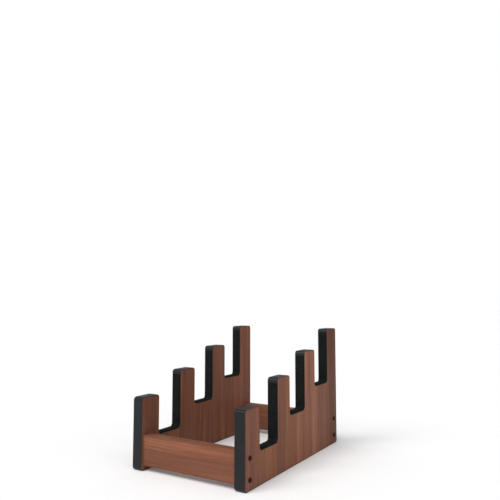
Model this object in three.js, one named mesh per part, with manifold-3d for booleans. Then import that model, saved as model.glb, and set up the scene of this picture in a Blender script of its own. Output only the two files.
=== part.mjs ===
// A floor rack that holds three guitars upright, one behind another.
// Two stepped side panels carry the guitars in three slots each, every slot higher than the one in front.
// Two rails join the panels with bolts, barrel nuts and dowels. Bands cover the boards' cut edges: black ones
// round the side panels, and walnut ones along the rails.
// Millimetres, +Z up. The origin is on the floor under the middle of the rack, and the front faces -Y.

import * as THREE from "three";
import { mergeVertices } from "three/addons/utils/BufferGeometryUtils.js";
import Module from "manifold-3d";

// Overall layout
const WIDTH = 305;
const BOARD = 26;
const GAP = 0.3;
const SLOTS = 3;
const POST_DEPTH = 60;
const SLOT_WIDTH = 80;
const FRONT_POST_HEIGHT = 165;
const FRONT_SEAT_HEIGHT = 71.5;
const STEP = 48.5;
const PITCH = POST_DEPTH + SLOT_WIDTH;
const DEPTH = SLOTS * PITCH + POST_DEPTH;

// Corners of the side panels
const POST_RADIUS = 8;
const SEAT_RADIUS = 9;
const FOOT_RADIUS = 8;

// Edge bands and slot pads
const BAND = 1;
const PAD = 1.5;
const PAD_WIDTH = 22;
const PAD_END_DROP = 12;
const PAD_END_RADIUS = 0.6;

// Rails
const RAIL_HEIGHT = 68;
const RAIL_LIFT = 12;
const RAIL_RECESS = 5.5;
const RAIL_LENGTH = WIDTH - 2 * BOARD - 2 * GAP;
const RAIL_BAND = 2;

// Bolts, barrel nuts and dowels
const BOLT_HEIGHTS = { lower: 22, upper: 66 };
const BOLT_RADIUS = 3;
const BOLT_LENGTH = 60;
const BOLT_TIP_CHAMFER = 0.8;
const HEAD_RADIUS = 5.25;
const HEAD_HEIGHT = 3.3;
const HEAD_RIM = 0.6;
const HEAD_FLAT_RADIUS = 2.9;
const SOCKET_FLATS = 4;
const SOCKET_DEPTH = 2;
const NUT_RADIUS = 5;
const NUT_LENGTH = 16;
const NUT_FROM_RAIL_END = 24;
const NUT_SLOT_WIDTH = 1.4;
const NUT_SLOT_DEPTH = 2;
const BOLT_HOLE_IN_RAIL = 36;
const DOWEL_RADIUS = 4;
const DOWEL_LENGTH = 30;
const DOWEL_HEIGHT = 44;
const DOWEL_CHAMFER = 1;
const DOWEL_HOLE_DEPTH = DOWEL_LENGTH / 2 + GAP;

// How far a cutter runs past the face that it opens
const OVERCUT = 1;

// Facets
const ARC_STEPS = 3;
const ROUND_SIDES = 16;
const DOME_STEPS = 4;

const RIGHT = 1;
const LEFT = -1;
const SIDE_NAMES = new Map([[RIGHT, "right"], [LEFT, "left"]]);

// The rails' middle planes, and the way each rail's inner face looks along Y.
const RAIL_Y = DEPTH / 2 - RAIL_RECESS - BOARD / 2;
const RAILS = [
  { name: "front", y: -RAIL_Y, inward: 1 },
  { name: "rear", y: RAIL_Y, inward: -1 },
];

const walnut = new THREE.MeshStandardMaterial({ color: 0x7c5343, roughness: 0.55, metalness: 0 });
const blackBand = new THREE.MeshStandardMaterial({ color: 0x36373b, roughness: 0.5, metalness: 0 });
const foam = new THREE.MeshStandardMaterial({ color: 0x232526, roughness: 0.95, metalness: 0 });
const blackSteel = new THREE.MeshStandardMaterial({ color: 0x2b2322, roughness: 0.4, metalness: 0.8 });
const zinc = new THREE.MeshStandardMaterial({ color: 0xb9bcc0, roughness: 0.35, metalness: 0.9 });
const beech = new THREE.MeshStandardMaterial({ color: 0xc9a676, roughness: 0.7, metalness: 0 });

const wasm = await Module();
wasm.setup();

// Turns a closed three.js geometry into a solid that can be joined and cut.
function solidOf(geometry) {
  const bare = geometry.clone();
  bare.deleteAttribute("normal");
  bare.deleteAttribute("uv");
  const merged = mergeVertices(bare, 1e-4);
  return new wasm.Manifold(new wasm.Mesh({
    numProp: 3,
    vertProperties: merged.attributes.position.array,
    triVerts: new Uint32Array(merged.index.array),
  }));
}

function geometryOf(solid) {
  const { vertProperties, triVerts } = solid.getMesh();
  const geometry = new THREE.BufferGeometry();
  geometry.setAttribute("position", new THREE.BufferAttribute(vertProperties, 3));
  geometry.setIndex(new THREE.BufferAttribute(triVerts, 1));
  geometry.computeVertexNormals();
  return geometry;
}

function cutFrom(solid, cutters) {
  return cutters.reduce((rest, cutter) => rest.subtract(solidOf(cutter)), solid);
}

function meshOf(name, geometry, material) {
  const mesh = new THREE.Mesh(geometry, material);
  mesh.name = name;
  return mesh;
}

// A round bar along X, centred on a point.
function barAlongX(radius, length, x, y, z) {
  const bar = new THREE.CylinderGeometry(radius, radius, length, ROUND_SIDES);
  return bar.rotateZ(Math.PI / 2).translate(x, y, z);
}

// Draws a closed outline into path. The corners are [y, z, radius], anticlockwise, at right angles to each
// other, and the outline is moved inwards by inset.
function drawOutline(path, corners, inset) {
  corners.forEach(([y, z, radius], i) => {
    const [beforeY, beforeZ] = corners.at(i - 1);
    const [afterY, afterZ] = corners[(i + 1) % corners.length];
    const arriving = new THREE.Vector2(y - beforeY, z - beforeZ).normalize();
    const leaving = new THREE.Vector2(afterY - y, afterZ - z).normalize();
    const inwards = new THREE.Vector2(-arriving.y - leaving.y, arriving.x + leaving.x);
    const turn = arriving.cross(leaving);
    const r = radius - turn * inset;
    const corner = new THREE.Vector2(y, z).addScaledVector(inwards, inset);
    const centre = corner.addScaledVector(inwards, turn * r);
    const start = Math.atan2(-turn * arriving.x, turn * arriving.y);
    path.absarc(centre.x, centre.y, r, start, start + turn * Math.PI / 2, turn < 0);
  });
  path.closePath();
  return path;
}

// Extrudes a shape drawn in the YZ plane to a width along X, centred on X = 0.
function extrudeAcross(shape, width) {
  const geometry = new THREE.ExtrudeGeometry(shape, {
    depth: width,
    bevelEnabled: false,
    curveSegments: ARC_STEPS,
  });
  geometry.translate(0, 0, -width / 2);
  const toYZ = new THREE.Matrix4().makeBasis(
    new THREE.Vector3(0, 1, 0),
    new THREE.Vector3(0, 0, 1),
    new THREE.Vector3(1, 0, 0),
  );
  return geometry.applyMatrix4(toYZ);
}

const postFront = (post) => post * PITCH - DEPTH / 2;
const postTop = (post) => FRONT_POST_HEIGHT + post * STEP;
const seatHeight = (slot) => FRONT_SEAT_HEIGHT + slot * STEP;

// The stepped outline of a side panel, from its front foot round by the rear foot and back over the posts.
function panelCorners() {
  const corners = [
    [-DEPTH / 2, 0, FOOT_RADIUS],
    [DEPTH / 2, 0, FOOT_RADIUS],
  ];
  for (let post = SLOTS; post >= 0; post -= 1) {
    corners.push([postFront(post) + POST_DEPTH, postTop(post), POST_RADIUS]);
    corners.push([postFront(post), postTop(post), POST_RADIUS]);
    if (post > 0) {
      corners.push([postFront(post), seatHeight(post - 1), SEAT_RADIUS]);
      corners.push([postFront(post) - SLOT_WIDTH, seatHeight(post - 1), SEAT_RADIUS]);
    }
  }
  return corners;
}

// The board of a side panel, with a hole for each bolt and a blind hole for each dowel.
function sidePanel(side) {
  const board = extrudeAcross(drawOutline(new THREE.Shape(), panelCorners(), BAND + GAP), BOARD);
  const cutters = [];
  for (const { y } of RAILS) {
    for (const z of Object.values(BOLT_HEIGHTS)) {
      cutters.push(barAlongX(BOLT_RADIUS + GAP, BOARD + 2 * OVERCUT, 0, y, z));
    }
    const innerFace = -side * BOARD / 2;
    cutters.push(barAlongX(DOWEL_RADIUS + GAP, 2 * DOWEL_HOLE_DEPTH, innerFace, y, DOWEL_HEIGHT));
  }
  return geometryOf(cutFrom(solidOf(board), cutters));
}

// The band round a panel, parted at the top of the feet: the lower part is what stands on the floor.
function bandParts() {
  const shape = drawOutline(new THREE.Shape(), panelCorners(), 0);
  shape.holes.push(drawOutline(new THREE.Path(), panelCorners(), BAND));
  const ring = solidOf(extrudeAcross(shape, BOARD));
  const blockUpTo = (height) => solidOf(new THREE.BoxGeometry(2 * BOARD, 2 * DEPTH, 2 * height));
  return {
    edge: geometryOf(ring.subtract(blockUpTo(FOOT_RADIUS + GAP / 2))),
    bottom: geometryOf(ring.intersect(blockUpTo(FOOT_RADIUS - GAP / 2))),
  };
}

// A soft U-shaped pad that lines a slot: its floor and both of its walls.
function slotPad(slot) {
  const front = postFront(slot) + POST_DEPTH + GAP;
  const rear = postFront(slot + 1) - GAP;
  const seat = seatHeight(slot) + GAP;
  const frontTop = postTop(slot) - PAD_END_DROP;
  const rearTop = postTop(slot + 1) - PAD_END_DROP;
  const underRadius = SEAT_RADIUS - GAP;
  const corners = [
    [front, seat, underRadius],
    [rear, seat, underRadius],
    [rear, rearTop, PAD_END_RADIUS],
    [rear - PAD, rearTop, PAD_END_RADIUS],
    [rear - PAD, seat + PAD, underRadius - PAD],
    [front + PAD, seat + PAD, underRadius - PAD],
    [front + PAD, frontTop, PAD_END_RADIUS],
    [front, frontTop, PAD_END_RADIUS],
  ];
  return extrudeAcross(drawOutline(new THREE.Shape(), corners, 0), PAD_WIDTH);
}

// Everything that belongs to one side panel, but for its bolts.
function sideAssembly(side) {
  const name = SIDE_NAMES.get(side);
  const bands = bandParts();
  const group = new THREE.Group();
  group.add(meshOf(`${name}_side_panel`, sidePanel(side), walnut));
  group.add(meshOf(`${name}_edge_band`, bands.edge, blackBand));
  group.add(meshOf(`${name}_bottom_band`, bands.bottom, blackBand));
  for (let slot = 0; slot < SLOTS; slot += 1) {
    group.add(meshOf(`${name}_slot_pad_${slot + 1}`, slotPad(slot), foam));
  }
  group.position.x = side * (WIDTH - BOARD) / 2;
  return group;
}

// A rail's board, about its own middle plane: bolt and dowel holes in both ends, nut holes in the inner face.
function railBoard(inward) {
  const height = RAIL_HEIGHT - 2 * (RAIL_BAND + GAP);
  const middle = RAIL_LIFT + RAIL_HEIGHT / 2;
  const board = new THREE.BoxGeometry(RAIL_LENGTH, BOARD, height).translate(0, 0, middle);
  const end = RAIL_LENGTH / 2;
  const nutHoleFloor = NUT_LENGTH / 2 + GAP;
  const nutHole = BOARD / 2 + nutHoleFloor + OVERCUT;
  const cutters = [];
  for (const side of SIDE_NAMES.keys()) {
    for (const z of Object.values(BOLT_HEIGHTS)) {
      cutters.push(barAlongX(BOLT_RADIUS + GAP, 2 * BOLT_HOLE_IN_RAIL, side * end, 0, z));
      const hole = new THREE.CylinderGeometry(NUT_RADIUS + GAP, NUT_RADIUS + GAP, nutHole, ROUND_SIDES);
      const middleY = inward * (nutHole / 2 - nutHoleFloor);
      cutters.push(hole.translate(side * (end - NUT_FROM_RAIL_END), middleY, z));
    }
    cutters.push(barAlongX(DOWEL_RADIUS + GAP, 2 * DOWEL_HOLE_DEPTH, side * end, 0, DOWEL_HEIGHT));
  }
  return geometryOf(cutFrom(solidOf(board), cutters));
}

// A rail with the bands on its top and bottom edges.
function railAssembly({ name, y, inward }) {
  const group = new THREE.Group();
  group.add(meshOf(`${name}_rail`, railBoard(inward), walnut));
  const heights = { top: RAIL_LIFT + RAIL_HEIGHT - RAIL_BAND / 2, bottom: RAIL_LIFT + RAIL_BAND / 2 };
  for (const [place, z] of Object.entries(heights)) {
    const strip = new THREE.BoxGeometry(RAIL_LENGTH, BOARD, RAIL_BAND);
    group.add(meshOf(`${name}_rail_${place}_band`, strip.translate(0, 0, z), walnut));
  }
  group.position.y = y;
  return group;
}

// A button-head bolt along Y, with its shank's tip at the origin and its domed head on the +Y end.
function boltGeometry() {
  const top = BOLT_LENGTH + HEAD_HEIGHT;
  const dome = [];
  for (let step = 0; step <= DOME_STEPS; step += 1) {
    const angle = Math.PI / 2 * step / DOME_STEPS;
    const r = HEAD_FLAT_RADIUS + (HEAD_RADIUS - HEAD_FLAT_RADIUS) * Math.cos(angle);
    dome.push([r, BOLT_LENGTH + HEAD_RIM + (HEAD_HEIGHT - HEAD_RIM) * Math.sin(angle)]);
  }
  const outline = [
    [0, 0],
    [BOLT_RADIUS - BOLT_TIP_CHAMFER, 0],
    [BOLT_RADIUS, BOLT_TIP_CHAMFER],
    [BOLT_RADIUS, BOLT_LENGTH],
    [HEAD_RADIUS, BOLT_LENGTH],
    ...dome,
    [0, top],
  ];
  const body = new THREE.LatheGeometry(outline.map(([r, y]) => new THREE.Vector2(r, y)), ROUND_SIDES);
  const socketRadius = SOCKET_FLATS / Math.sqrt(3);
  const socket = new THREE.CylinderGeometry(socketRadius, socketRadius, 2 * SOCKET_DEPTH, 6);
  return geometryOf(cutFrom(solidOf(body), [socket.translate(0, top, 0)]));
}

// A barrel nut along Y, with a cross hole for the bolt and a screwdriver slot in its +Y end.
function nutGeometry() {
  const barrel = new THREE.CylinderGeometry(NUT_RADIUS, NUT_RADIUS, NUT_LENGTH, ROUND_SIDES);
  const slot = new THREE.BoxGeometry(4 * NUT_RADIUS, 2 * NUT_SLOT_DEPTH, NUT_SLOT_WIDTH);
  slot.translate(0, NUT_LENGTH / 2, 0);
  const crossHole = barAlongX(BOLT_RADIUS + GAP, 4 * NUT_RADIUS, 0, 0, 0);
  return geometryOf(cutFrom(solidOf(barrel), [slot, crossHole]));
}

// A dowel along Y with chamfered ends, centred on the origin.
function dowelGeometry() {
  const half = DOWEL_LENGTH / 2;
  const outline = [
    [0, -half],
    [DOWEL_RADIUS - DOWEL_CHAMFER, -half],
    [DOWEL_RADIUS, DOWEL_CHAMFER - half],
    [DOWEL_RADIUS, half - DOWEL_CHAMFER],
    [DOWEL_RADIUS - DOWEL_CHAMFER, half],
    [0, half],
  ];
  return new THREE.LatheGeometry(outline.map(([r, y]) => new THREE.Vector2(r, y)), ROUND_SIDES);
}

// The two bolts, two barrel nuts and one dowel that join a rail to a side panel.
function jointHardware(side, { name, y, inward }) {
  const place = `${SIDE_NAMES.get(side)}_${name}`;
  const group = new THREE.Group();
  for (const [level, z] of Object.entries(BOLT_HEIGHTS)) {
    const bolt = meshOf(`bolt_${place}_${level}`, boltGeometry(), blackSteel);
    bolt.rotation.z = -side * Math.PI / 2;
    bolt.position.set(side * (WIDTH / 2 + GAP - BOLT_LENGTH), 0, z);
    const nut = meshOf(`barrel_nut_${place}_${level}`, nutGeometry(), zinc);
    nut.rotation.x = inward > 0 ? 0 : Math.PI;
    nut.position.set(side * (RAIL_LENGTH / 2 - NUT_FROM_RAIL_END), 0, z);
    group.add(bolt, nut);
  }
  const dowel = meshOf(`dowel_${place}`, dowelGeometry(), beech);
  dowel.rotation.z = Math.PI / 2;
  dowel.position.set(side * (WIDTH / 2 - BOARD), 0, DOWEL_HEIGHT);
  group.add(dowel);
  group.position.y = y;
  return group;
}

const rack = new THREE.Group();
for (const side of SIDE_NAMES.keys()) {
  rack.add(sideAssembly(side));
  RAILS.forEach((rail) => rack.add(jointHardware(side, rail)));
}
RAILS.forEach((rail) => rack.add(railAssembly(rail)));

export default rack;
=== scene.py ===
"""The looks of a stepped guitar rack: walnut boards, black edge bands, foam pads and domed bolts.

Every place comes from the frame's boxes. Lengths are in metres, +Z is up, and the front faces -Y.
"""

import math

import bpy
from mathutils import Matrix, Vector, noise


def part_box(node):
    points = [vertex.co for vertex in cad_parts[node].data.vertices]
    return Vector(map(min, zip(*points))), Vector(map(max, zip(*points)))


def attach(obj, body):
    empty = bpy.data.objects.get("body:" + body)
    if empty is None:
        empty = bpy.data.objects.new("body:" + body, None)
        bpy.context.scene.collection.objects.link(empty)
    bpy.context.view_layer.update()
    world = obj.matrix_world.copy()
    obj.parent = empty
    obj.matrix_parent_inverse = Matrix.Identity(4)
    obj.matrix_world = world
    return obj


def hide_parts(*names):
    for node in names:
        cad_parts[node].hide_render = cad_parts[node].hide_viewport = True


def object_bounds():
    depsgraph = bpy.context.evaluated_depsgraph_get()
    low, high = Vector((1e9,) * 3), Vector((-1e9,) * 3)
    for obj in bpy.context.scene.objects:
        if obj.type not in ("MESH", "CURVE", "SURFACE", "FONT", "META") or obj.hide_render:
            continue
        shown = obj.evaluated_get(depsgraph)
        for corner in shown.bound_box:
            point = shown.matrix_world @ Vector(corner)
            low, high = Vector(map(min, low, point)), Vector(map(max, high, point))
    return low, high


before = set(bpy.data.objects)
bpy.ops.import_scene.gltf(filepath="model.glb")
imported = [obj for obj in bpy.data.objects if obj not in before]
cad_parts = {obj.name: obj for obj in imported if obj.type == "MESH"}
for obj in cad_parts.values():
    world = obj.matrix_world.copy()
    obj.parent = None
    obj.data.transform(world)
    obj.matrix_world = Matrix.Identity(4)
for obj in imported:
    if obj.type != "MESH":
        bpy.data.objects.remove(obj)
cad_low, cad_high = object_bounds()

MM = 0.001
BODY = "root"
SIDES = {"right": 1, "left": -1}
RAILS = {"front": 1, "rear": -1}
LEVELS = ("lower", "upper")
SLOTS = (1, 2, 3)
UP = Vector((0, 0, 1))

# The photograph's camera: the lens and sensor in mm, and the angles in degrees
LENS = 39.63
SENSOR = 36
CAMERA_PLACE = Vector((0.7591, -1.2168, 0.3931))
CAMERA_RISE = 5.04
CAMERA_TURN = 31.33

# Panels and their edge bands
GAP = 0.3 * MM
SEAM = 0.1 * MM
BAND = 1 * MM
BAND_ARRIS = 0.5 * MM
BOARD_ARRIS = 0.4 * MM
POST_RADIUS = 8 * MM
SEAT_RADIUS = 9 * MM
FOOT_RADIUS = 8 * MM
CORNER_STEPS = 14
STRIP_STEPS = 5

# Foam pads
PAD = 1.5 * MM
PAD_EDGE = 0.5 * MM
PAD_UNDER_EDGE = 0.2 * MM
PAD_END_STEPS = 3
PAD_STEP = 3 * MM
PAD_CELLS = 6
PAD_UNEVENNESS = 0.12 * MM
PAD_WAVES = 7 * MM

# Rails
EDGING_ARRIS = 0.8 * MM

# Bolts, barrel nuts and dowels
ROUND_STEPS = 48
BOLT_RADIUS = 3 * MM
HEAD_RADIUS = 5.25 * MM
HEAD_HEIGHT = 3.3 * MM
HEAD_RIM = 0.6 * MM
HEAD_UNDER_CHAMFER = 0.2 * MM
HEAD_FLAT_RADIUS = 2.9 * MM
DOME_STEPS = 8
SOCKET_FLATS = 4 * MM
SOCKET_DEPTH = 2 * MM
SOCKET_MOUTH = 0.2 * MM
THREAD_LENGTH = 24 * MM
THREAD_PITCH = 1 * MM
THREAD_DEPTH = 0.55 * MM
RINGS_PER_TURN = 6
TIP_CHAMFER = 0.8 * MM
NUT_RADIUS = 5 * MM
NUT_CHAMFER = 0.4 * MM
NUT_SLOT = 1.4 * MM
NUT_SLOT_DEPTH = 2 * MM
DOWEL_RADIUS = 4 * MM
DOWEL_CHAMFER = 1 * MM
FLUTE_DEPTH = 0.25 * MM
STEPS_PER_FLUTE = 3

# Drilled holes
HOLE_CHAMFER = 0.4 * MM
BOLT_HOLE_IN_RAIL = 36 * MM
DRILL_POINT = 1.5 * MM
TIPS_PER_CONE = 20
OVERCUT = 1 * MM

# Edges that turn by more degrees than this stay sharp
SHARP_ABOVE = 40
SHARP_ABOVE_TURNED = 30

# How far the grain's lines wander sideways
GRAIN_WANDER = 22 * MM

# Floor and light: each light is where it shines from, its strength and how many degrees wide it is
FLOOR_RADIUS = 25
FLOOR_SIDES = 96
FLOOR_DROP = 0.3 * MM
SURROUND = 0.45
KEY_LIGHT = ((-0.15, -0.62, 0.77), 2.3, 50)
FILL_LIGHT = ((0.75, -0.45, 0.5), 0.6, 60)


# ---------------------------------------------------------------- meshes

def quarter(steps):
    """The angles of a quarter turn in equal steps, from 0."""
    return [math.pi / 2 * k / steps for k in range(steps + 1)]


def loft(rings, closed=False):
    """A skin over rings of equally many points, with capped ends unless it closes on itself."""
    count = len(rings[0])
    points = [point for ring in rings for point in ring]
    faces = []
    for i in range(len(rings) if closed else len(rings) - 1):
        here = i * count
        there = (i + 1) % len(rings) * count
        for k in range(count):
            after = (k + 1) % count
            faces.append((here + k, here + after, there + after, there + k))
    if not closed:
        faces.append(tuple(reversed(range(count))))
        faces.append(tuple(range(len(points) - count, len(points))))
    return points, faces


def block(low, high):
    """A box between two corners."""
    corners = [(low.y, low.z), (high.y, low.z), (high.y, high.z), (low.y, high.z)]
    return loft([[(x, y, z) for y, z in corners] for x in (low.x, high.x)])


def joined(shapes):
    """Several shapes that don't touch, as one."""
    points, faces = [], []
    for more_points, more_faces in shapes:
        start = len(points)
        points += more_points
        faces += [tuple(start + i for i in face) for face in more_faces]
    return points, faces


def volume(mesh):
    """The volume inside the mesh, below zero if its faces point inwards."""
    mesh.calc_loop_triangles()
    total = 0
    for triangle in mesh.loop_triangles:
        a, b, c = (mesh.vertices[i].co for i in triangle.vertices)
        total += a.dot(b.cross(c)) / 6
    return total


def new_object(name, shape, material):
    """An object of one material in the scene, with its faces turned outwards."""
    mesh = bpy.data.meshes.new(name)
    mesh.from_pydata(shape[0], [], shape[1])
    if volume(mesh) < 0:
        mesh.flip_normals()
    mesh.materials.append(material)
    made = bpy.data.objects.new(name, mesh)
    bpy.context.scene.collection.objects.link(made)
    return made


def cut(piece, shapes, material):
    """Cuts the shapes out of the piece, one set after another. The walls of the cuts get the material."""
    for shape in shapes:
        cutter = new_object("cutter", shape, material)
        modifier = piece.modifiers.new("cut", "BOOLEAN")
        modifier.operation = "DIFFERENCE"
        modifier.solver = "EXACT"
        modifier.material_mode = "TRANSFER"
        modifier.object = cutter
        evaluated = piece.evaluated_get(bpy.context.evaluated_depsgraph_get())
        mesh = bpy.data.meshes.new_from_object(evaluated)
        piece.modifiers.clear()
        piece.data = mesh
        bpy.data.objects.remove(cutter)


def settle(piece, slot, *nodes, sharp_above=SHARP_ABOVE):
    """Shades the piece smooth but for its sharp edges, and lets it ride in place of its CAD nodes."""
    mesh = piece.data
    mesh.polygons.foreach_set("use_smooth", [True] * len(mesh.polygons))
    mesh.set_sharp_from_angle(angle=math.radians(sharp_above))
    weighted = piece.modifiers.new("weighted_normals", "WEIGHTED_NORMAL")
    weighted.keep_sharp = True
    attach(piece, BODY)
    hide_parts(*nodes)
    return piece


# ---------------------------------------------------------------- turned shapes

def turned(profile, at, way):
    """A shape round a line, from (distance along it, radius or a function of the step round the ring)."""
    across = way.cross(UP)
    rings = []
    for distance, radius in profile:
        ring = []
        for k in range(ROUND_STEPS):
            angle = 2 * math.pi * k / ROUND_STEPS
            r = radius(k) if callable(radius) else radius
            ring.append(at + way * distance + across * r * math.cos(angle) + UP * r * math.sin(angle))
        rings.append(ring)
    return loft(rings)


def hexagon(flats):
    """The radius at each step round a hexagon, from its width across flats."""
    steps = ROUND_STEPS // 6
    return lambda k: flats / 2 / math.cos(math.pi / 3 * (k % steps / steps - 0.5))


def grooved(radius, depth, every):
    """The radius at each step round a circle with a groove at every so many steps."""
    return lambda k: radius - (0 if k % every else depth)


def thread(distance, start):
    """A ring of a thread that begins at start: its depth changes with the distance and round the ring."""
    run_in = min(1, (distance - start) / THREAD_PITCH)

    def radius(k):
        turn = (distance / THREAD_PITCH - k / ROUND_STEPS) % 1
        return BOLT_RADIUS - THREAD_DEPTH * run_in * abs(2 * turn - 1)
    return radius


def middle(low, high):
    return (low + high) / 2


# ---------------------------------------------------------------- the side panels' outline

def panel_corners():
    """The stepped outline's corners as (y, z, radius), anticlockwise from the front foot."""
    low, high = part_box("right_edge_band")
    corners = [(low.y, cad_low.z, FOOT_RADIUS), (high.y, cad_low.z, FOOT_RADIUS)]
    rear, top = high.y, high.z
    for i in reversed(SLOTS):
        pad_low, pad_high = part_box(f"right_slot_pad_{i}")
        slot_front, slot_rear, seat = pad_low.y - GAP, pad_high.y + GAP, pad_low.z - GAP
        corners.append((rear, top, POST_RADIUS))
        corners.append((slot_rear, top, POST_RADIUS))
        corners.append((slot_rear, seat, SEAT_RADIUS))
        corners.append((slot_front, seat, SEAT_RADIUS))
        rear, top = slot_front, top - step_height()
    corners.append((rear, top, POST_RADIUS))
    corners.append((low.y, top, POST_RADIUS))
    return corners


def step_height():
    """How much higher each slot and post is than the one in front."""
    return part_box("right_slot_pad_2")[0].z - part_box("right_slot_pad_1")[0].z


def outline(corners, inset):
    """The outline moved inwards as (y, z) points, equally many for every inset."""
    points = []
    for i, (y, z, radius) in enumerate(corners):
        here = Vector((y, z))
        arriving = (here - Vector(corners[i - 1][:2])).normalized()
        leaving = (Vector(corners[(i + 1) % len(corners)][:2]) - here).normalized()
        turn = round(arriving.x * leaving.y - arriving.y * leaving.x)
        inwards = Vector((-arriving.y - leaving.y, arriving.x + leaving.x))
        r = radius - turn * inset
        centre = here + inwards * (inset + turn * r)
        start = math.atan2(-turn * arriving.x, turn * arriving.y)
        for angle in quarter(CORNER_STEPS):
            way = start + turn * angle
            points.append((centre.x + r * math.cos(way), centre.y + r * math.sin(way)))
    return points


def rounded_strip(half_width, thickness, radius):
    """A strip's section as (across, inset) points: its outer corners are round and its inner ones square."""
    half = [(half_width, thickness)]
    for angle in quarter(STRIP_STEPS):
        half.append((half_width - radius + radius * math.cos(angle), radius - radius * math.sin(angle)))
    return half + [(-across, inset) for across, inset in reversed(half)]


# ---------------------------------------------------------------- materials

class Shader:
    """A material under construction round its Principled BSDF. Patterns are in features per metre."""

    def __init__(self, name):
        self.material = bpy.data.materials.new(name)
        self.material.use_nodes = True
        self.tree = self.material.node_tree
        self.surface = self.tree.nodes["Principled BSDF"]
        self.place = self.node("TexCoord").outputs["Object"]

    def feed(self, socket, value):
        """Links another node's output to a socket, or sets the socket's own value."""
        if isinstance(value, bpy.types.NodeSocket):
            self.tree.links.new(value, socket)
        else:
            socket.default_value = value

    def node(self, kind, inputs=(), **settings):
        made = self.tree.nodes.new("ShaderNode" + kind)
        for key, value in settings.items():
            setattr(made, key, value)
        for socket, value in dict(inputs).items():
            self.feed(made.inputs[socket], value)
        return made

    def math(self, operation, a, b):
        return self.node("Math", {0: a, 1: b}, operation=operation).outputs[0]

    def scaled(self, vector, scale):
        return self.node("Mapping", {"Vector": vector, "Scale": scale}).outputs[0]

    def noise(self, vector, scale, detail=2.0, roughness=0.5):
        """Noise whose features measure about one over scale along each axis."""
        place = self.scaled(vector, scale)
        inputs = {"Vector": place, "Scale": 1.0, "Detail": detail, "Roughness": roughness}
        return self.node("TexNoise", inputs).outputs["Fac"]

    def ramp(self, value, stops):
        """Colours or greys at positions from 0 to 1."""
        made = self.node("ValToRGB", {"Fac": value})
        elements = made.color_ramp.elements
        while len(elements) < len(stops):
            elements.new(1.0)
        for element, (position, colour) in zip(elements, stops):
            element.position = position
            element.color = colour if isinstance(colour, tuple) else (colour, colour, colour, 1)
        return made.outputs["Color"]

    def mix(self, share, a, b, blend="MIX"):
        return self.node("Mix", {0: share, 6: a, 7: b}, data_type="RGBA", blend_type=blend).outputs[2]

    def bump(self, height, distance, strength=1.0):
        inputs = {"Height": height, "Distance": distance, "Strength": strength}
        return self.node("Bump", inputs).outputs["Normal"]

    def edges(self, radius):
        """Near 0 on flat places and towards 1 on sharp edges."""
        rounded = self.node("Bevel", {"Radius": radius}, samples=4).outputs["Normal"]
        flat = self.node("NewGeometry").outputs["Normal"]
        same = self.node("VectorMath", {0: rounded, 1: flat}, operation="DOT_PRODUCT").outputs["Value"]
        return self.ramp(same, [(0.82, 1.0), (0.99, 0.0)])

    def finish(self, **inputs):
        """Feeds the surface's inputs, named with _ for each space."""
        for key, value in inputs.items():
            self.feed(self.surface.inputs[key.replace("_", " ")], value)
        return self.material


def srgb(red, green, blue):
    """A colour from screen values of 0 to 255."""
    def linear(value):
        v = value / 255
        return v / 12.92 if v <= 0.04045 else ((v + 0.055) / 1.055) ** 2.4
    return linear(red), linear(green), linear(blue), 1


def walnut(name, along, across, shift, streakiness, uneven_tone_and_shade):
    """Walnut laminate with its grain along one axis and its streaks side by side across another."""
    s = Shader(name)
    parts = s.node("SeparateXYZ", {0: s.place}).outputs
    depth = ({"X", "Y", "Z"} - {along, across}).pop()
    grain = s.node("CombineXYZ", {0: parts[across], 1: parts[along], 2: parts[depth]}).outputs[0]
    grain = s.node("VectorMath", {0: grain, 1: shift}, operation="ADD").outputs[0]

    wander = s.math("SUBTRACT", s.noise(grain, (14, 2.6, 14)), 0.5)
    sideways = s.node("CombineXYZ", {0: s.math("MULTIPLY", wander, GRAIN_WANDER)}).outputs[0]
    grain = s.node("VectorMath", {0: grain, 1: sideways}, operation="ADD").outputs[0]

    # The wide tone and the cool patches are partly grain and partly painted light and shade: on the right
    # side and the front rail, the shift places their lighter, darker and cooler areas to stand in for light
    # and shade.
    wide_tone_and_shade = s.noise(grain, (7, 0.4, 7), detail=1)
    broad = s.noise(grain, (30, 1.1, 30))
    streaks = s.noise(grain, (150, 2.2, 150), detail=3, roughness=0.6)
    fine = s.noise(grain, (620, 8, 620), detail=3, roughness=0.65)
    tone = 0.5
    for pattern, share in [(wide_tone_and_shade, uneven_tone_and_shade), (broad, 0.2 * streakiness), (streaks, 0.4 * streakiness),
                           (fine, 0.4 * streakiness)]:
        tone = s.math("ADD", tone, s.math("MULTIPLY", s.math("SUBTRACT", pattern, 0.5), share))
    colour = s.ramp(tone, [
        (0.36, srgb(85, 49, 36)),
        (0.44, srgb(109, 68, 50)),
        (0.51, srgb(127, 81, 61)),
        (0.58, srgb(143, 94, 72)),
        (0.66, srgb(159, 109, 85)),
    ])

    cool = s.ramp(s.noise(grain, (22, 1.3, 22), detail=1), [(0.40, 0.5), (0.60, 0.0)])
    colour = s.mix(cool, colour, srgb(111, 75, 63))

    rays = s.noise(grain, (2300, 55, 2300), detail=2, roughness=0.6)
    pores = s.ramp(rays, [(0.56, 0.0), (0.68, 1.0)])
    pores = s.math("MULTIPLY", pores, s.ramp(streaks, [(0.35, 1.0), (0.62, 0.35)]))
    colour = s.mix(s.math("MULTIPLY", pores, 0.4), colour, srgb(62, 34, 23))

    sheen = s.ramp(s.noise(s.place, (9, 9, 9), detail=3), [(0.3, 0.42), (0.7, 0.52)])
    roughness = s.math("ADD", sheen, s.math("MULTIPLY", pores, 0.15))
    height = s.math("SUBTRACT", s.math("MULTIPLY", fine, 0.35), pores)
    normal = s.bump(height, 0.06 * MM, strength=0.5)
    return s.finish(Base_Color=colour, Roughness=roughness, Normal=normal, Specular_IOR_Level=0.05)


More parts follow.
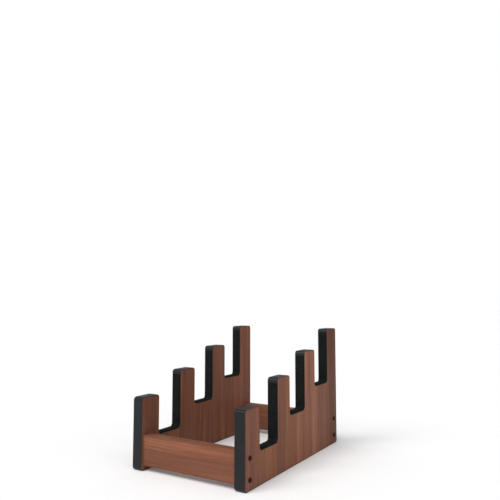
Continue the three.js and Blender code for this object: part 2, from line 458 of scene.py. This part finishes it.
def edge_plastic():
    """Satin black banding: a fine pebbled skin, rubbed a little lighter along its edges."""
    s = Shader("black_edge_plastic")
    cloudy = s.noise(s.place, (35, 35, 35), detail=4)
    colour = s.ramp(cloudy, [(0.3, srgb(14, 16, 18)), (0.7, srgb(23, 25, 28))])
    rubbed = s.math("MULTIPLY", s.edges(0.8 * MM), 0.2)
    colour = s.mix(rubbed, colour, srgb(70, 70, 75))
    pebbles = s.noise(s.place, (1500, 1500, 1500), roughness=0.55)
    roughness = s.ramp(s.noise(s.place, (60, 60, 60), detail=3), [(0.3, 0.34), (0.7, 0.46)])
    normal = s.bump(pebbles, 0.05 * MM, strength=0.4)
    return s.finish(Base_Color=colour, Roughness=roughness, Normal=normal, Specular_IOR_Level=0.26)


def slot_foam():
    """Charcoal closed-cell foam: matte, mottled and with small cells. Its greys are darker than the bare
    foam as painted shade.
    """
    s = Shader("charcoal_foam_with_painted_shade")
    cells = s.node("TexVoronoi", {"Vector": s.scaled(s.place, (1700, 1700, 1700)), "Scale": 1.0})
    cells = cells.outputs["Distance"]
    mottled = s.noise(s.place, (240, 240, 240), detail=4, roughness=0.65)
    # Partly the foam's own charcoal and partly painted shade: these greys are set darker than the bare foam.
    colour = s.ramp(mottled, [(0.32, srgb(13, 14, 14)), (0.55, srgb(23, 25, 25)), (0.75, srgb(36, 38, 38))])
    colour = s.mix(s.ramp(cells, [(0.0, 0.45), (0.35, 0.0)]), colour, srgb(4, 4, 4))
    height = s.math("ADD", cells, s.math("MULTIPLY", mottled, 1.5))
    normal = s.bump(height, 0.12 * MM, strength=0.6)
    return s.finish(Base_Color=colour, Roughness=0.93, Normal=normal, Specular_IOR_Level=0.1)


def board_core():
    """The pressed-wood core that shows on the walls of drilled holes."""
    s = Shader("board_core")
    chips = s.node("TexVoronoi", {"Vector": s.scaled(s.place, (500, 500, 900)), "Scale": 1.0})
    grey = s.node("SeparateXYZ", {0: chips.outputs["Color"]}).outputs["X"]
    colour = s.ramp(grey, [(0.0, srgb(66, 46, 32)), (0.5, srgb(92, 68, 48)), (1.0, srgb(118, 92, 66))])
    normal = s.bump(grey, 0.15 * MM, strength=0.7)
    return s.finish(Base_Color=colour, Roughness=0.9, Normal=normal, Specular_IOR_Level=0.2)


def dark_steel():
    """Brown-black oxidised steel, polished a little at its edges."""
    s = Shader("dark_steel")
    patches = s.noise(s.place, (900, 900, 900), detail=4, roughness=0.6)
    colour = s.ramp(patches, [(0.3, srgb(30, 14, 9)), (0.7, srgb(46, 23, 16))])
    worn = s.math("MULTIPLY", s.edges(0.3 * MM), 0.4)
    colour = s.mix(worn, colour, srgb(104, 82, 72))
    roughness = s.ramp(patches, [(0.3, 0.3), (0.7, 0.44)])
    normal = s.bump(patches, 0.02 * MM, strength=0.5)
    return s.finish(Base_Color=colour, Roughness=roughness, Metallic=0.6, Normal=normal,
                    Specular_IOR_Level=0.15)


def zinc():
    """Zinc plate: pale and slightly blue, with faint blotches and machining rings."""
    s = Shader("zinc_plate")
    blotches = s.noise(s.place, (420, 420, 420), detail=4)
    colour = s.ramp(blotches, [(0.3, srgb(164, 168, 174)), (0.7, srgb(203, 205, 208))])
    roughness = s.ramp(blotches, [(0.3, 0.28), (0.7, 0.42)])
    normal = s.bump(s.noise(s.place, (200, 9000, 200), detail=1), 0.02 * MM, strength=0.4)
    return s.finish(Base_Color=colour, Roughness=roughness, Metallic=1.0, Normal=normal)


def beech():
    """Raw beech with its grain along X and short dark flecks."""
    s = Shader("beech")
    grain = s.noise(s.place, (60, 900, 900), detail=3)
    colour = s.ramp(grain, [(0.35, srgb(186, 144, 98)), (0.65, srgb(214, 177, 130))])
    flecks = s.ramp(s.noise(s.place, (420, 3200, 3200), detail=1), [(0.64, 0.0), (0.7, 0.6)])
    colour = s.mix(flecks, colour, srgb(128, 88, 56))
    normal = s.bump(grain, 0.05 * MM, strength=0.5)
    return s.finish(Base_Color=colour, Roughness=0.72, Normal=normal, Specular_IOR_Level=0.3)


def pale_floor():
    """Matte off-white, very slightly clouded."""
    s = Shader("pale_floor")
    clouds = s.noise(s.place, (3, 3, 3), detail=3)
    colour = s.ramp(clouds, [(0.3, 0.92), (0.7, 0.94)])
    return s.finish(Base_Color=colour, Roughness=0.85, Specular_IOR_Level=0.2)


# Each board's grain: along, across, where it lies in the pattern, its streakiness and its uneven tone. On
# the right side and the front rail, where the board lies in the pattern was chosen so its broad tone partly
# paints light and shade.
WALNUT = {
    "right": walnut("walnut_right_side", "Z", "Y", (0.0, 5.94, 3.01), 0.9, 0.6),
    "left": walnut("walnut_left_side", "Z", "Y", (3.1, 1.7, 0.4), 0.9, 0.4),
    "front": walnut("walnut_front_rail", "X", "Z", (6.96, 0.27, 6.36), 0.7, 0.1),
    "rear": walnut("walnut_rear_rail", "X", "Z", (7.7, 4.1, 1.295), 0.7, 0.1),
}
PLASTIC = edge_plastic()
FOAM = slot_foam()
CORE = board_core()
STEEL = dark_steel()
ZINC = zinc()
BEECH = beech()


# ---------------------------------------------------------------- side panels

def bolt_hole(side, rail, level):
    """The hole of a bolt's shank, right through a side panel."""
    axis = middle(*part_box(f"bolt_{side}_{rail}_{level}"))
    low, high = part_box(f"{side}_side_panel")
    at = Vector((low.x, axis.y, axis.z))
    radius = BOLT_RADIUS + GAP
    return turned([(-OVERCUT, radius), (high.x - low.x + OVERCUT, radius)], at, Vector((1, 0, 0)))


def blind_hole(mouth, way, radius, depth):
    """A drilled hole with a cone at its end."""
    profile = [(-OVERCUT, radius), (depth, radius), (depth + DRILL_POINT, radius / TIPS_PER_CONE)]
    return turned(profile, mouth, way)


def dowel_hole(side, rail, part):
    """The hole for half a dowel, in the part ("panel" or "rail") that the joint's plane bounds."""
    low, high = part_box(f"dowel_{side}_{rail}")
    sign = SIDES[side]
    axis = middle(low, high)
    way = Vector((sign if part == "panel" else -sign, 0, 0))
    depth = (high.x - low.x) / 2 + GAP
    return blind_hole(axis, way, DOWEL_RADIUS + GAP, depth)


def panel_board(side):
    """A stepped board with its arrises taken off, drilled for its bolts and dowels."""
    low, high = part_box(f"{side}_side_panel")
    corners = panel_corners()
    sections = [
        (low.x, BOARD_ARRIS), (low.x + BOARD_ARRIS, 0),
        (high.x - BOARD_ARRIS, 0), (high.x, BOARD_ARRIS),
    ]
    rings = []
    for x, inset in sections:
        rings.append([(x, y, z) for y, z in outline(corners, BAND + SEAM + inset)])
    board = new_object(f"{side}_panel_board", loft(rings), WALNUT[side])
    holes = [bolt_hole(side, rail, level) for rail in RAILS for level in LEVELS]
    holes += [dowel_hole(side, rail, "panel") for rail in RAILS]
    cut(board, [joined(holes)], CORE)
    return settle(board, "walnut_board", f"{side}_side_panel")


def panel_banding(side):
    """The rounded strip that runs right round a panel's edge."""
    low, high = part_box(f"{side}_edge_band")
    centre = middle(low, high).x
    corners = panel_corners()
    section = rounded_strip((high.x - low.x) / 2, BAND, BAND_ARRIS)
    lines = [(centre + across, outline(corners, inset)) for across, inset in section]
    rings = [[(x, *line[i]) for x, line in lines] for i in range(len(lines[0][1]))]
    banding = new_object(f"{side}_panel_banding", loft(rings, closed=True), PLASTIC)
    return settle(banding, "edge_band", f"{side}_edge_band", f"{side}_bottom_band")


# ---------------------------------------------------------------- slot pads

def pad_path(low, high):
    """A pad's path over the band, as (place, the way to the slot's inside, how much the section shrinks)."""
    radius = SEAT_RADIUS - GAP
    front, rear, seat = low.y + radius, high.y - radius, low.z + radius
    front_top = high.z - step_height()
    front_wall = [(Vector((low.y, z)), Vector((1, 0)), shrink) for z, shrink in wall(seat, front_top)]
    rear_wall = [(Vector((high.y, z)), Vector((-1, 0)), shrink) for z, shrink in wall(seat, high.z)]
    floor = [(Vector((y, low.z)), Vector((0, 1)), 0) for y in stations(front, rear)[1:-1]]
    path = front_wall[::-1]
    path += [on_arc(front, seat, radius, math.pi + angle) for angle in quarter(CORNER_STEPS)[1:]]
    path += floor
    path += [on_arc(rear, seat, radius, 1.5 * math.pi + angle) for angle in quarter(CORNER_STEPS)[:-1]]
    return path + rear_wall


def on_arc(y, z, radius, angle):
    """A stop on a pad's path in one of its corners, round the point (y, z)."""
    way = Vector((math.cos(angle), math.sin(angle)))
    return Vector((y, z)) + way * radius, -way, 0


def stations(start, end):
    """Even steps of about PAD_STEP from start to end."""
    count = max(1, round((end - start) / PAD_STEP))
    return [start + (end - start) * k / count for k in range(count + 1)]


def wall(bottom, top):
    """Heights up a pad's wall, with how much its section shrinks at its rounded end."""
    heights = [(z, 0) for z in stations(bottom, top - PAD_EDGE)]
    for angle in quarter(PAD_END_STEPS)[1:]:
        heights.append((top - PAD_EDGE * (1 - math.sin(angle)), PAD_EDGE * (1 - math.cos(angle))))
    return heights


def pad_section(half_width, shrink):
    """A pad's section as (across, height) points: flat below, with a rounded upper edge on both sides."""
    side = half_width - shrink
    top = PAD - shrink
    radius = PAD_EDGE - shrink / 2
    half = [(side - PAD_UNDER_EDGE, shrink), (side, shrink + PAD_UNDER_EDGE)]
    for angle in quarter(PAD_END_STEPS):
        half.append((side - radius + radius * math.cos(angle), top - radius + radius * math.sin(angle)))
    inner = side - radius
    across = [inner * (1 - 2 * k / PAD_CELLS) for k in range(1, PAD_CELLS)]
    return half + [(x, top) for x in across] + [(-x, height) for x, height in reversed(half)]


def slot_pad(side, i):
    """A foam pad swept round its slot, with a slightly uneven surface."""
    low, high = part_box(f"{side}_slot_pad_{i}")
    centre = middle(low, high).x
    rings = []
    for place, inside, shrink in pad_path(low, high):
        ring = []
        for across, height in pad_section((high.x - low.x) / 2, shrink):
            point = place + inside * height
            spot = Vector((centre + across, point.x, point.y))
            sink = PAD_UNEVENNESS * (0.5 + 0.5 * noise.noise(spot / PAD_WAVES)) * height / PAD
            point -= inside * sink
            ring.append((spot.x, point.x, point.y))
        rings.append(ring)
    pad = new_object(f"{side}_slot_{i}_foam", loft(rings), FOAM)
    settle(pad, "slot_foam", f"{side}_slot_pad_{i}")
    return pad


# ---------------------------------------------------------------- rails

def nut_hole(side, rail, level):
    """The hole for a barrel nut, drilled from the rail's inner face."""
    low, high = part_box(f"barrel_nut_{side}_{rail}_{level}")
    rail_low, rail_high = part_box(f"{rail}_rail")
    inward = RAILS[rail]
    face = rail_high.y if inward > 0 else rail_low.y
    floor = low.y - GAP if inward > 0 else high.y + GAP
    axis = middle(low, high)
    profile = [
        (-OVERCUT, NUT_RADIUS + GAP + HOLE_CHAMFER),
        (0, NUT_RADIUS + GAP + HOLE_CHAMFER),
        (HOLE_CHAMFER, NUT_RADIUS + GAP),
        (abs(face - floor), NUT_RADIUS + GAP),
    ]
    return turned(profile, Vector((axis.x, face, axis.z)), Vector((0, -inward, 0)))


def rail_end_holes(side, rail):
    """A rail's holes for two bolts and a dowel in one end."""
    low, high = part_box(f"{rail}_rail")
    sign = SIDES[side]
    end = high.x if sign > 0 else low.x
    holes = [dowel_hole(side, rail, "rail")]
    for level in LEVELS:
        axis = middle(*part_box(f"bolt_{side}_{rail}_{level}"))
        mouth = Vector((end, axis.y, axis.z))
        holes.append(blind_hole(mouth, Vector((-sign, 0, 0)), BOLT_RADIUS + GAP, BOLT_HOLE_IN_RAIL))
    return holes


def rail_board(rail):
    """A board between its two edgings, drilled for its nuts, bolts and dowels."""
    low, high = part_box(f"{rail}_rail")
    tape_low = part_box(f"{rail}_rail_bottom_band")[1].z + SEAM
    tape_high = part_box(f"{rail}_rail_top_band")[0].z - SEAM
    section = [
        (low.y + BOARD_ARRIS, tape_low), (high.y - BOARD_ARRIS, tape_low),
        (high.y, tape_low + BOARD_ARRIS), (high.y, tape_high - BOARD_ARRIS),
        (high.y - BOARD_ARRIS, tape_high), (low.y + BOARD_ARRIS, tape_high),
        (low.y, tape_high - BOARD_ARRIS), (low.y, tape_low + BOARD_ARRIS),
    ]
    rings = [[(x, y, z) for y, z in section] for x in (low.x, high.x)]
    board = new_object(f"{rail}_rail_board", loft(rings), WALNUT[rail])
    nut_holes = [nut_hole(side, rail, level) for side in SIDES for level in LEVELS]
    end_holes = [hole for side in SIDES for hole in rail_end_holes(side, rail)]
    cut(board, [joined(nut_holes), joined(end_holes)], CORE)
    return settle(board, "walnut_board", f"{rail}_rail")


def rail_edging(rail, place):
    """The edging along a rail's top or bottom, with both outer arrises rounded."""
    low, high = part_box(f"{rail}_rail_{place}_band")
    outer, inwards = (high.z, -1) if place == "top" else (low.z, 1)
    centre = middle(low, high).y
    section = rounded_strip((high.y - low.y) / 2, high.z - low.z, EDGING_ARRIS)
    line = [(centre + across, outer + inwards * inset) for across, inset in section]
    rings = [[(x, y, z) for y, z in line] for x in (low.x, high.x)]
    edging = new_object(f"{rail}_rail_{place}_edging", loft(rings), WALNUT[rail])
    return settle(edging, "walnut_board", f"{rail}_rail_{place}_band")


# ---------------------------------------------------------------- bolts, barrel nuts and dowels

def dome():
    """The round of a bolt's head, from the flat about its socket to its rim."""
    points = []
    for angle in reversed(quarter(DOME_STEPS)):
        depth = (HEAD_HEIGHT - HEAD_RIM) * (1 - math.sin(angle))
        points.append((depth, HEAD_FLAT_RADIUS + (HEAD_RADIUS - HEAD_FLAT_RADIUS) * math.cos(angle)))
    return points


def socket_bolt(side, rail, level):
    """A button-head bolt from the floor of its socket, over its dome and along its thread to its tip."""
    name = f"{side}_{rail}_{level}"
    low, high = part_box(f"bolt_{name}")
    sign = SIDES[side]
    axis = middle(low, high)
    at = Vector((high.x if sign > 0 else low.x, axis.y, axis.z))
    length = high.x - low.x
    thread_start = length - THREAD_LENGTH
    profile = [
        (SOCKET_DEPTH + SOCKET_MOUTH, SOCKET_FLATS / TIPS_PER_CONE),
        (SOCKET_DEPTH, hexagon(SOCKET_FLATS)),
        (SOCKET_MOUTH, hexagon(SOCKET_FLATS)),
        (0, SOCKET_FLATS / 2 + 2 * SOCKET_MOUTH),
        *dome(),
        (HEAD_HEIGHT - HEAD_UNDER_CHAMFER, HEAD_RADIUS),
        (HEAD_HEIGHT, HEAD_RADIUS - HEAD_UNDER_CHAMFER),
        (HEAD_HEIGHT, BOLT_RADIUS + HEAD_UNDER_CHAMFER),
        (HEAD_HEIGHT + HEAD_UNDER_CHAMFER, BOLT_RADIUS),
    ]
    rings = round((THREAD_LENGTH - TIP_CHAMFER) / THREAD_PITCH * RINGS_PER_TURN)
    for k in range(rings + 1):
        distance = thread_start + THREAD_PITCH * k / RINGS_PER_TURN
        profile.append((distance, thread(distance, thread_start)))
    profile.append((length, BOLT_RADIUS - THREAD_DEPTH - TIP_CHAMFER / 2))
    bolt = new_object(f"socket_bolt_{name}", turned(profile, at, Vector((-sign, 0, 0))), STEEL)
    return settle(bolt, "black_bolt", f"bolt_{name}", sharp_above=SHARP_ABOVE_TURNED)


def slotted_nut(side, rail, level):
    """A barrel nut with a cross hole for the bolt, and a screwdriver slot in its inner end."""
    name = f"{side}_{rail}_{level}"
    low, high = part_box(f"barrel_nut_{name}")
    axis = middle(low, high)
    inward = RAILS[rail]
    half = (high.y - low.y) / 2
    profile = [
        (-half, NUT_RADIUS - NUT_CHAMFER),
        (NUT_CHAMFER - half, NUT_RADIUS),
        (half - NUT_CHAMFER, NUT_RADIUS),
        (half, NUT_RADIUS - NUT_CHAMFER),
    ]
    nut = new_object(f"slotted_nut_{name}", turned(profile, axis, Vector((0, inward, 0))), ZINC)
    reach = NUT_RADIUS + OVERCUT
    bore = turned([(-reach, BOLT_RADIUS + GAP), (reach, BOLT_RADIUS + GAP)], axis, Vector((1, 0, 0)))
    slot_floor = axis.y + inward * (half - NUT_SLOT_DEPTH)
    slot_end = axis.y + inward * (half + OVERCUT)
    slot = block(
        Vector((axis.x - reach, min(slot_floor, slot_end), axis.z - NUT_SLOT / 2)),
        Vector((axis.x + reach, max(slot_floor, slot_end), axis.z + NUT_SLOT / 2)),
    )
    cut(nut, [joined([bore, slot])], ZINC)
    return settle(nut, "zinc_nut", f"barrel_nut_{name}", sharp_above=SHARP_ABOVE_TURNED)


def fluted_dowel(side, rail):
    """A dowel with chamfered ends and flutes along it."""
    low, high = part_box(f"dowel_{side}_{rail}")
    half = (high.x - low.x) / 2
    flutes = grooved(DOWEL_RADIUS, FLUTE_DEPTH, STEPS_PER_FLUTE)
    profile = [
        (-half, DOWEL_RADIUS - DOWEL_CHAMFER),
        (DOWEL_CHAMFER - half, flutes),
        (half - DOWEL_CHAMFER, flutes),
        (half, DOWEL_RADIUS - DOWEL_CHAMFER),
    ]
    shape = turned(profile, middle(low, high), Vector((1, 0, 0)))
    dowel = new_object(f"fluted_dowel_{side}_{rail}", shape, BEECH)
    return settle(dowel, "beech_dowel", f"dowel_{side}_{rail}", sharp_above=SHARP_ABOVE_TURNED)


# ---------------------------------------------------------------- camera, floor and light

def photo_camera():
    """The scene's camera, where the photograph was taken from."""
    data = bpy.data.cameras.new("camera")
    data.lens = LENS
    data.sensor_width = SENSOR
    camera = bpy.data.objects.new("camera", data)
    camera.location = CAMERA_PLACE
    camera.rotation_euler = (math.radians(90 + CAMERA_RISE), 0, math.radians(CAMERA_TURN))
    bpy.context.scene.collection.objects.link(camera)
    bpy.context.scene.camera = camera


def floor_disc():
    """A plain round floor just below the rack."""
    rim = []
    for k in range(FLOOR_SIDES):
        angle = 2 * math.pi * k / FLOOR_SIDES
        rim.append((FLOOR_RADIUS * math.cos(angle), FLOOR_RADIUS * math.sin(angle), cad_low.z - FLOOR_DROP))
    disc = new_object("floor", (rim, [tuple(range(FLOOR_SIDES))]), pale_floor())


def sun(name, towards, strength, spread):
    """A broad, distant light that shines from the direction given."""
    data = bpy.data.lights.new(name, "SUN")
    data.energy = strength
    data.angle = math.radians(spread)
    lamp = bpy.data.objects.new(name, data)
    lamp.rotation_euler = Vector(towards).to_track_quat("Z", "Y").to_euler()
    bpy.context.scene.collection.objects.link(lamp)


def studio():
    """A white surround that the camera sees as pure white, and two broad lights from the front."""
    world = bpy.data.worlds.new("studio")
    world.use_nodes = True
    tree = world.node_tree
    background = tree.nodes["Background"]
    background.inputs["Color"].default_value = (1, 1, 1, 1)
    path = tree.nodes.new("ShaderNodeLightPath")
    strength = tree.nodes.new("ShaderNodeMapRange")
    strength.inputs["To Min"].default_value = SURROUND
    strength.inputs["To Max"].default_value = 1.0
    tree.links.new(path.outputs["Is Camera Ray"], strength.inputs["Value"])
    tree.links.new(strength.outputs["Result"], background.inputs["Strength"])
    bpy.context.scene.world = world
    sun("key", *KEY_LIGHT)
    sun("fill", *FILL_LIGHT)
    bpy.context.scene.view_settings.view_transform = "Standard"


photo_camera()
for side in SIDES:
    panel_board(side)
    panel_banding(side)
    for i in SLOTS:
        slot_pad(side, i)
for rail in RAILS:
    rail_board(rail)
    rail_edging(rail, "top")
    rail_edging(rail, "bottom")
    for side in SIDES:
        fluted_dowel(side, rail)
        for level in LEVELS:
            socket_bolt(side, rail, level)
            slotted_nut(side, rail, level)
floor_disc()
studio()
